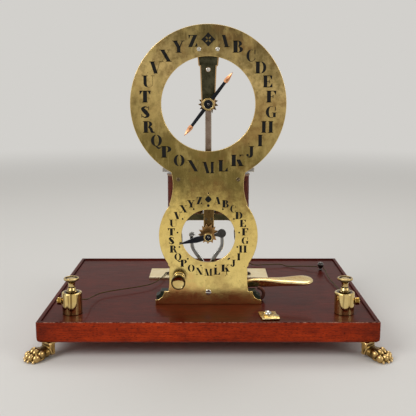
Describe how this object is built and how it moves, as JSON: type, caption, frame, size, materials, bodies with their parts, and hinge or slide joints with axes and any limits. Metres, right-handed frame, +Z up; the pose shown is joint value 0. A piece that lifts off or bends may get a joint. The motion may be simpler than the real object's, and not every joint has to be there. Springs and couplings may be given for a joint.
{
  "type": "dial telegraph",
  "caption": "Brass dial telegraph on a mahogany board: receiving dial and electromagnet above, hand-levered sending dial below, paw feet and binding posts.",
  "frame": {"origin": "on the ground under the centre of the board, midway between the four paw feet", "axes": "+X to the right as seen from the dial side, +Y from the dials towards the back, +Z up"},
  "size_m": [0.3814, 0.2994, 0.3383],
  "materials": {
    "mahogany": "french polished",
    "gilt_bronze": "gilt, worn",
    "aged_brass": "aged, lacquered",
    "polished_brass": "polished",
    "dark_brass": "patinated",
    "steel": "grey",
    "blued_steel": "blackened",
    "soft_iron": "filed",
    "gilt_copper": "gilt",
    "boxwood": "polished",
    "red_silk": "wound silk",
    "green_silk": "silk covered"
  },
  "bodies": {
    "frame": {"base_board": "mahogany", "paw_front_left": "gilt_bronze", "paw_front_right": "gilt_bronze", "paw_back_left": "gilt_bronze", "paw_back_right": "gilt_bronze", "wood_screws": "steel", "face_plate": "aged_brass", "plate_screws": "steel", "foot_block": "dark_brass", "upper_cock": "dark_brass", "stem_guide": "dark_brass", "cock_screws": "steel", "magnet_bracket": "dark_brass", "yoke": "soft_iron", "magnet_cores": "soft_iron", "magnet_screws": "steel", "bobbin_left": "boxwood", "bobbin_right": "boxwood", "winding_left": "red_silk", "winding_right": "red_silk", "armature_guide": "aged_brass", "armature_spring": "steel", "lower_cock": "dark_brass", "rocker_cock": "dark_brass", "deck_screws": "steel", "bed_plate": "polished_brass", "bed_screws": "blued_steel", "rear_stays": "dark_brass", "lever_spring": "polished_brass", "button_bush": "aged_brass", "post_left": "polished_brass", "post_right": "polished_brass", "wire_pin": "blued_steel", "catch_screw": "polished_brass", "wire_left_post": "green_silk", "wire_left_coil": "green_silk", "wire_right_post": "green_silk", "wire_right_coil": "green_silk"},
    "upper_hand": {"upper_arbor": "blued_steel", "upper_collet": "aged_brass", "upper_pointer": "blued_steel", "pointer_tips": "gilt_copper", "upper_ratchet": "dark_brass"},
    "lower_hand": {"lower_arbor": "blued_steel", "lower_collet": "aged_brass", "lower_pointer": "blued_steel", "lower_ratchet": "dark_brass"},
    "rocker": {"hand_lever": "polished_brass", "rocker_arbor": "steel", "anchor": "steel", "anchor_pallets": "steel"},
    "armature": {"armature_bar": "soft_iron", "armature_stem": "steel", "stem_pallets": "steel"},
    "button": {"reset_button": "polished_brass"},
    "left_thumbscrew": {"thumbscrew_left": "polished_brass"},
    "right_thumbscrew": {"thumbscrew_right": "polished_brass"},
    "left_clamp": {"clamp_screw_left": "polished_brass"},
    "right_clamp": {"clamp_screw_right": "polished_brass"},
    "catch": {"catch_plate": "polished_brass"}
  },
  "joints": [
    {"name": "upper_pointer_turn", "type": "hinge", "parent": "frame", "child": "upper_hand", "pos_m": [0, -0.06, 0.2563], "axis": [0, 1, 0], "continuous": true},
    {"name": "lower_pointer_turn", "type": "hinge", "parent": "frame", "child": "lower_hand", "pos_m": [0, -0.06, 0.115], "axis": [0, 1, 0], "continuous": true},
    {"name": "hand_lever_swing", "type": "hinge", "parent": "frame", "child": "rocker", "pos_m": [0, -0.053, 0.074], "axis": [0, 1, 0], "range_deg": [0, 7.5], "stiffness_Nm_per_rad": 0.3, "springref_deg": -11.46, "deforming": ["lever_spring"]},
    {"name": "armature_pull", "type": "slide", "parent": "frame", "child": "armature", "axis": [0, 0, 1], "range_m": [-0.0012, 0], "stiffness_N_per_m": 600, "springref_m": 0.002, "deforming": ["armature_spring"]},
    {"name": "button_push", "type": "slide", "parent": "frame", "child": "button", "axis": [0, 1, 0], "range_m": [0, 0.004], "stiffness_N_per_m": 150, "springref_m": -0.002},
    {"name": "left_thumbscrew_turn", "type": "hinge", "parent": "frame", "child": "left_thumbscrew", "pos_m": [-0.144, -0.0985, 0.06], "axis": [0, 0, 1], "range_deg": [0, 720]},
    {"name": "right_thumbscrew_turn", "type": "hinge", "parent": "frame", "child": "right_thumbscrew", "pos_m": [0.144, -0.0985, 0.06], "axis": [0, 0, 1], "range_deg": [0, 720]},
    {"name": "left_clamp_turn", "type": "hinge", "parent": "frame", "child": "left_clamp", "pos_m": [-0.15, -0.0985, 0.051], "axis": [-1, 0, 0], "range_deg": [0, 720]},
    {"name": "right_clamp_turn", "type": "hinge", "parent": "frame", "child": "right_clamp", "pos_m": [0.15, -0.0985, 0.051], "axis": [1, 0, 0], "range_deg": [0, 720]},
    {"name": "catch_turn", "type": "hinge", "parent": "frame", "child": "catch", "pos_m": [0.0624, -0.1055, 0.039], "axis": [0, 0, 1], "range_deg": [-90, 90]}
  ]
}
